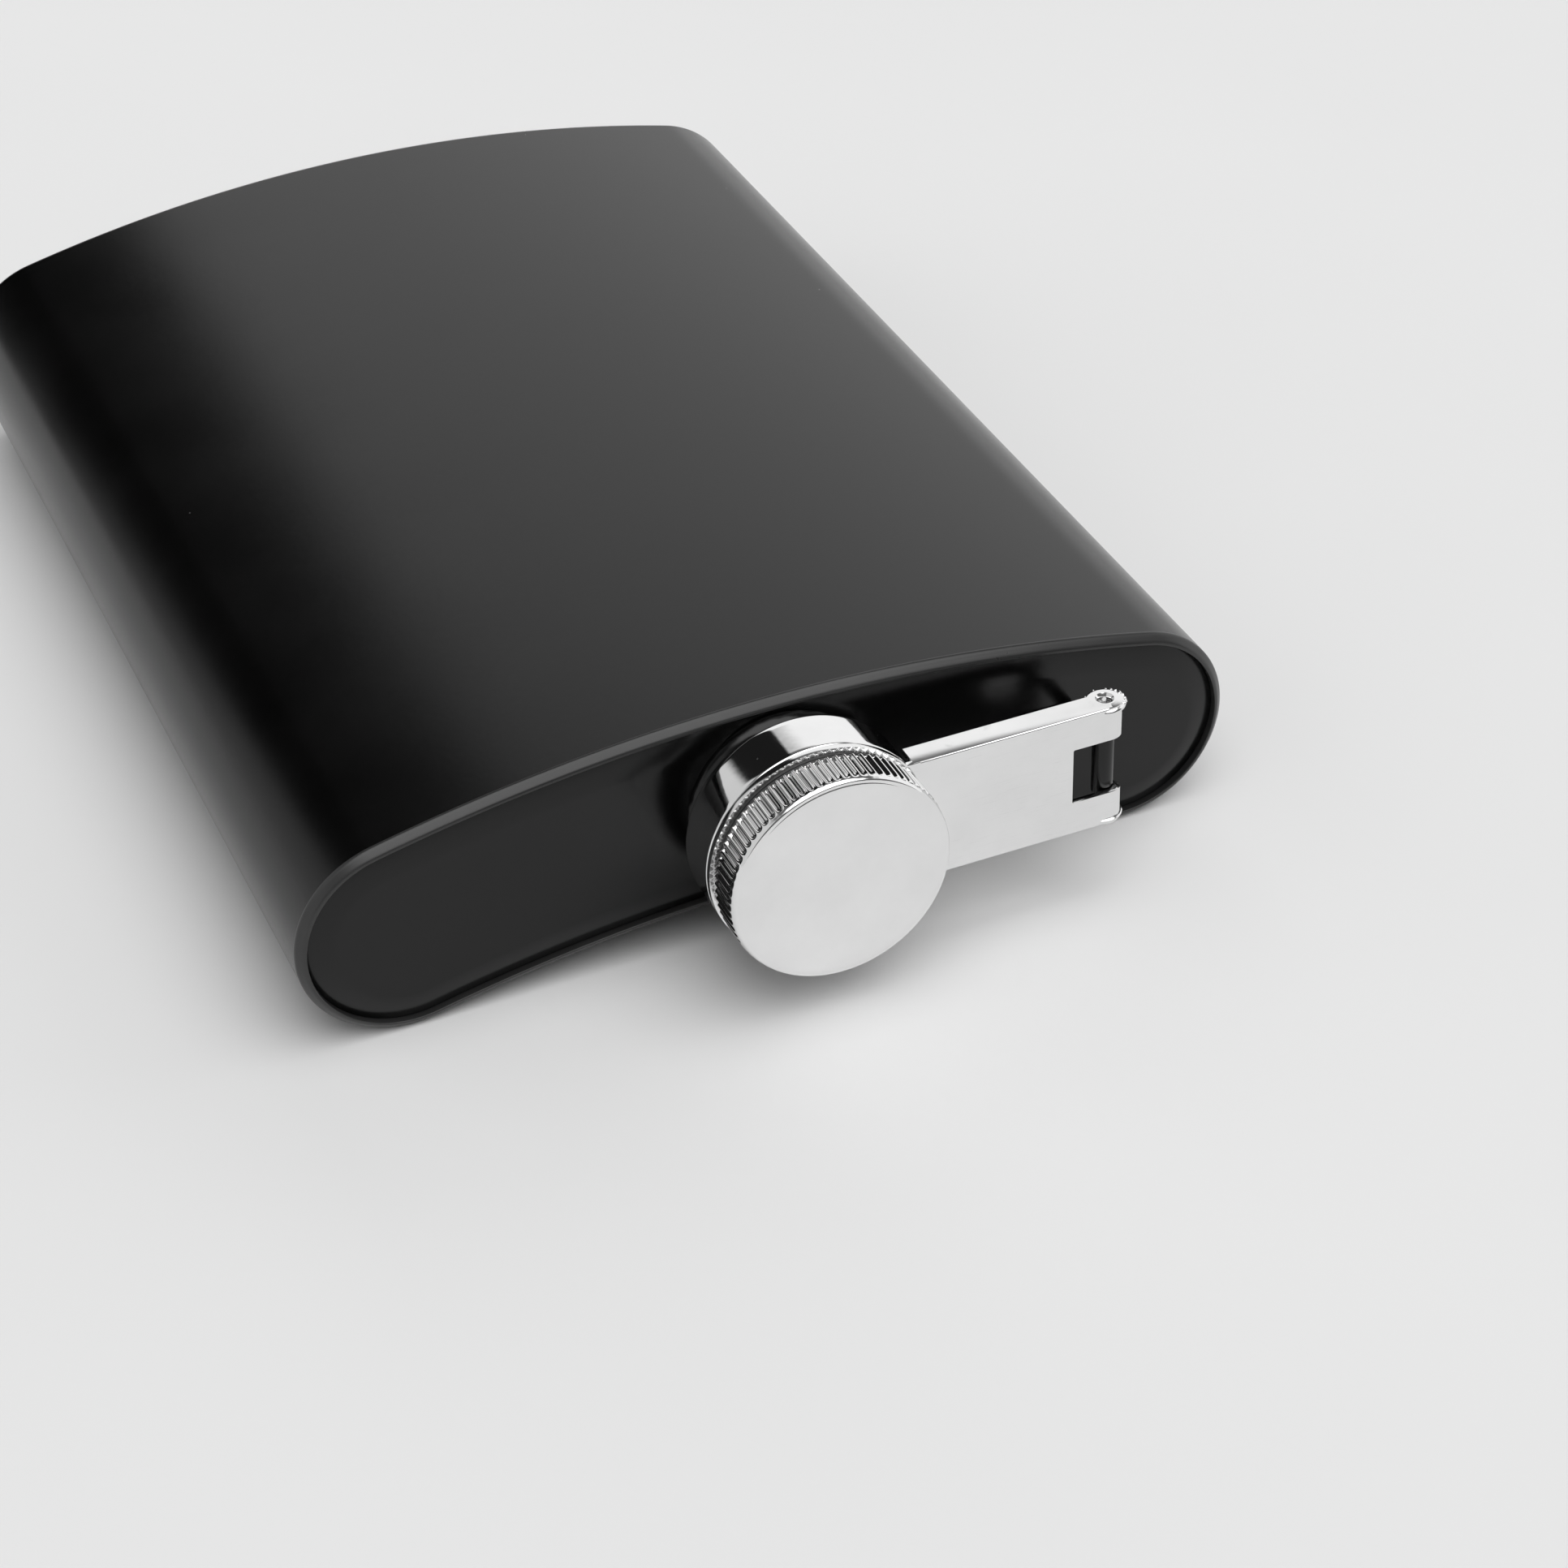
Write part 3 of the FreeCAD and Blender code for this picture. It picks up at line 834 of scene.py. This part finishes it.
# ---------------------------------------------------------------- floor, light and camera
def floor_piece():
    bm = bmesh.new()
    bmesh.ops.create_grid(bm, x_segments=8, y_segments=8, size=4.0)
    mesh = bpy.data.meshes.new("floor")
    bm.to_mesh(mesh)
    bm.free()
    obj = bpy.data.objects.new("floor", mesh)
    bpy.context.scene.collection.objects.link(obj)
    n = Nodes("pale_floor")
    cloud = n.noise(0.01, 3)
    mesh.materials.append(n.finish(
        Base_Color=n.mix(n.range(cloud, 0.3, 0.7, 0, 1), 0.80, 0.815),
        Roughness=n.range(cloud, 0.3, 0.7, 0.55, 0.65), Specular_IOR_Level=0.2))


# Directions are in degrees: azimuth from +Y towards +X, and elevation.
BOX_AZ, BOX_EL = math.radians(168), math.radians(68)
BOX_HALF, BOX_SOFT, BOX_LEVEL = 34, 5, 2.3
BRIGHT_FROM, BRIGHT_TO, WALL_TOP, WALL_LEVEL = 3.5, 112, 41, 0.90
LEFT_FROM, LEFT_TO, LEFT_LEVEL = -130, -33, 0.54
GAP_TOP, GAP_DEPTH, ROOM_LEVEL = 74, 0.92, 0.14
BACKDROP = 0.80


def studio():
    """A dim room with a bright wall, a half-lit wall, a dark gap between them and a softbox overhead."""
    world = bpy.data.worlds.new("studio")
    bpy.context.scene.world = world
    world.use_nodes = True
    tree = world.node_tree
    tree.nodes.clear()

    def add(kind, **settings):
        node = tree.nodes.new(kind)
        for key, value in settings.items():
            setattr(node, key, value)
        return node

    def calc(kind, *values):
        node = add("ShaderNodeMath", operation=kind)
        for socket, v in zip(node.inputs, values):
            if isinstance(v, (int, float)):
                socket.default_value = v
            else:
                tree.links.new(v, socket)
        return node.outputs[0]

    def step(value, a, b):
        """0 below a and 1 above b, or the reverse where a is the larger."""
        node = add("ShaderNodeMapRange", interpolation_type="SMOOTHSTEP")
        lo, hi = min(a, b), max(a, b)
        node.inputs["From Min"].default_value = lo
        node.inputs["From Max"].default_value = hi
        node.inputs["To Min"].default_value = 0 if a < b else 1
        node.inputs["To Max"].default_value = 1 if a < b else 0
        tree.links.new(value, node.inputs["Value"])
        return node.outputs["Result"]

    place = add("ShaderNodeTexCoord")
    axes = add("ShaderNodeSeparateXYZ")
    tree.links.new(place.outputs["Generated"], axes.inputs[0])
    x, y, z = axes.outputs
    azimuth = calc("MULTIPLY", calc("ARCTAN2", x, y), 180 / math.pi)
    height = calc("MULTIPLY", calc("ARCSINE", z), 180 / math.pi)

    def patch(az0, az1, az_soft, el0, el1, el_soft):
        """1 inside a rectangle of azimuth and elevation, and 0 outside it."""
        a = calc("MULTIPLY", step(azimuth, az0 - az_soft, az0 + az_soft),
                 step(azimuth, az1 + az_soft, az1 - az_soft))
        b = calc("MULTIPLY", step(height, el0 - el_soft, el0 + el_soft),
                 step(height, el1 + el_soft, el1 - el_soft))
        return calc("MULTIPLY", a, b)

    wall = patch(BRIGHT_FROM, BRIGHT_TO, 1.5, -90, WALL_TOP, 4.0)
    left = patch(LEFT_FROM, LEFT_TO, 2.5, -90, WALL_TOP + 4, 8.0)
    level = calc("ADD", calc("MULTIPLY", wall, WALL_LEVEL), calc("MULTIPLY", left, LEFT_LEVEL))
    gap = patch(LEFT_TO, BRIGHT_FROM, 1.5, -90, GAP_TOP, 6.0)
    front = calc("SUBTRACT", 1.0, calc("MULTIPLY", gap, GAP_DEPTH))
    level = calc("ADD", level, calc("MULTIPLY", front, ROOM_LEVEL))
    box = Vector((math.sin(BOX_AZ) * math.cos(BOX_EL), math.cos(BOX_AZ) * math.cos(BOX_EL),
                  math.sin(BOX_EL)))
    towards = calc("ADD", calc("ADD", calc("MULTIPLY", x, box.x), calc("MULTIPLY", y, box.y)),
                   calc("MULTIPLY", z, box.z))
    glow = step(towards, math.cos(math.radians(BOX_HALF + BOX_SOFT)),
                math.cos(math.radians(BOX_HALF - BOX_SOFT)))
    level = calc("ADD", level, calc("MULTIPLY", glow, BOX_LEVEL))
    # the camera sees a plain backdrop in place of the lights
    plain = add("ShaderNodeLightPath").outputs["Is Camera Ray"]
    lit = calc("ADD", calc("MULTIPLY", level, calc("SUBTRACT", 1.0, plain)),
               calc("MULTIPLY", plain, BACKDROP))
    colour = add("ShaderNodeCombineColor")
    for socket in colour.inputs:
        tree.links.new(lit, socket)
    back = add("ShaderNodeBackground")
    tree.links.new(colour.outputs[0], back.inputs["Color"])
    back.inputs["Strength"].default_value = 1.0
    out = add("ShaderNodeOutputWorld")
    tree.links.new(back.outputs[0], out.inputs[0])


def main_camera():
    """The photo's viewpoint, with its angles in radians."""
    azimuth, elevation, roll = -0.388, 0.640, -0.037
    target = Vector((-0.00262, -0.05415, 0.01354))
    distance = 0.34092
    back = Vector((math.sin(azimuth) * math.cos(elevation), -math.cos(azimuth) * math.cos(elevation),
                   math.sin(elevation)))
    right = (-back).cross(Vector((0, 0, 1))).normalized()
    up = right.cross(-back)
    x_axis = math.cos(roll) * right + math.sin(roll) * up
    y_axis = -math.sin(roll) * right + math.cos(roll) * up
    turn = Matrix((x_axis, y_axis, back)).transposed().to_4x4()
    data = bpy.data.cameras.new("main")
    data.sensor_width = 36.0
    data.lens = 83.94
    data.shift_x = 0.0195
    data.shift_y = 0.0186
    data.clip_start = 0.01
    data.clip_end = 50.0
    obj = bpy.data.objects.new("main", data)
    obj.matrix_world = Matrix.Translation(target + back * distance) @ turn
    bpy.context.scene.collection.objects.link(obj)
    bpy.context.scene.camera = obj


floor_piece()
studio()
main_camera()
bpy.context.scene.view_settings.view_transform = "Standard"
